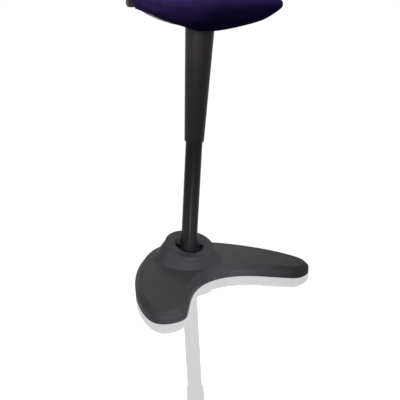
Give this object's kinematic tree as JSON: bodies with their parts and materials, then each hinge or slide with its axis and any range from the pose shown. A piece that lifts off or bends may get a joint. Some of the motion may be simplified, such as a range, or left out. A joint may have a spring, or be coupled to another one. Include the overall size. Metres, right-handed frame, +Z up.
{
  "type": "perch stool",
  "caption": "Height-adjustable perch stool: arched floor foot, sprung leaning gas column in a tapered cover, upholstered scoop seat with rear grab handle.",
  "frame": {"origin": "on the floor, at the centre of the underside of the pad beneath the column hub", "axes": "+Z up, +Y towards the back of the seat, +X to the right of a person who faces the same way as the stool's back"},
  "size_m": [0.588, 0.415, 0.8709],
  "materials": {
    "moulding": "satin, fine grained moulding",
    "cover_plastic": "satin near-black",
    "tube_paint": "satin powder coat",
    "dark_steel": "black phosphated steel",
    "bright_steel": "ground and hard chromed",
    "rubber": "matt",
    "acetal": "natural, as moulded",
    "pan_plastic": "matt",
    "pale_plastic": "light grey, fine grain",
    "shell_plastic": "matt black, fine grain",
    "violet_fabric": "smooth violet cloth"
  },
  "bodies": {
    "base": {"base_shell": "moulding", "base_plate": "dark_steel", "foot_pad_hub": "rubber", "foot_pad_left_tip": "rubber", "foot_pad_right_tip": "rubber", "foot_pad_left_arm": "rubber", "foot_pad_right_arm": "rubber", "foot_pad_back": "rubber", "plate_screw_1": "dark_steel", "plate_screw_2": "dark_steel", "plate_screw_3": "dark_steel", "plate_screw_4": "dark_steel", "plate_screw_5": "dark_steel", "plate_screw_6": "dark_steel", "bush_housing": "dark_steel", "housing_bolt_1": "dark_steel", "housing_bolt_2": "dark_steel", "housing_bolt_3": "dark_steel", "housing_bolt_4": "dark_steel"},
    "bush": {"rubber_bush": "rubber"},
    "column": {"taper_socket": "dark_steel", "outer_tube": "tube_paint", "guide_bush": "acetal"},
    "rod": {"thrust_bearing": "bright_steel", "piston_rod": "bright_steel", "rod_clip": "dark_steel", "piston": "acetal", "piston_nut": "bright_steel"},
    "lift": {"pressure_cylinder": "dark_steel", "rod_gland": "acetal", "tapered_cover": "cover_plastic", "wiper_ring": "rubber", "seat_plate": "dark_steel", "lever_pin": "bright_steel", "seat_pan": "pan_plastic", "tail_cover": "pale_plastic", "rear_shell": "shell_plastic", "seat_cushion": "violet_fabric", "seat_bolt_1": "dark_steel", "seat_bolt_2": "dark_steel", "seat_bolt_3": "dark_steel", "seat_bolt_4": "dark_steel"},
    "lever": {"release_lever": "dark_steel", "lever_paddle": "shell_plastic"},
    "pin": {"release_pin": "bright_steel"}
  },
  "joints": [
    {"name": "tilt_fore_aft", "type": "hinge", "parent": "base", "child": "bush", "pos_m": [0, 0, 0.04], "axis": [1, 0, 0], "range_deg": [-8, 8], "stiffness_Nm_per_rad": 1500},
    {"name": "tilt_sideways", "type": "hinge", "parent": "bush", "child": "column", "pos_m": [0, 0, 0.04], "axis": [0, 0.9963, 0.0854], "range_deg": [-8, 8], "stiffness_Nm_per_rad": 1500},
    {"name": "seat_swivel", "type": "hinge", "parent": "column", "child": "rod", "pos_m": [0, 0, 0.04], "axis": [0, -0.0854, 0.9963], "continuous": true},
    {"name": "height", "type": "slide", "parent": "rod", "child": "lift", "axis": [0, -0.0854, 0.9963], "range_m": [-0.25, 0]},
    {"name": "release_lever", "type": "hinge", "parent": "lift", "child": "lever", "pos_m": [0, -0.02944, 0.7815], "axis": [1, 0, 0], "range_deg": [0, 3.5], "stiffness_Nm_per_rad": 4},
    {"name": "release_pin", "type": "slide", "parent": "lift", "child": "pin", "axis": [0, 0.0854, -0.9963], "range_m": [0, 0.0022]}
  ],
  "couplings": [
    {"joint": "release_pin", "follows": "release_lever", "m_per_rad": 0.034}
  ]
}
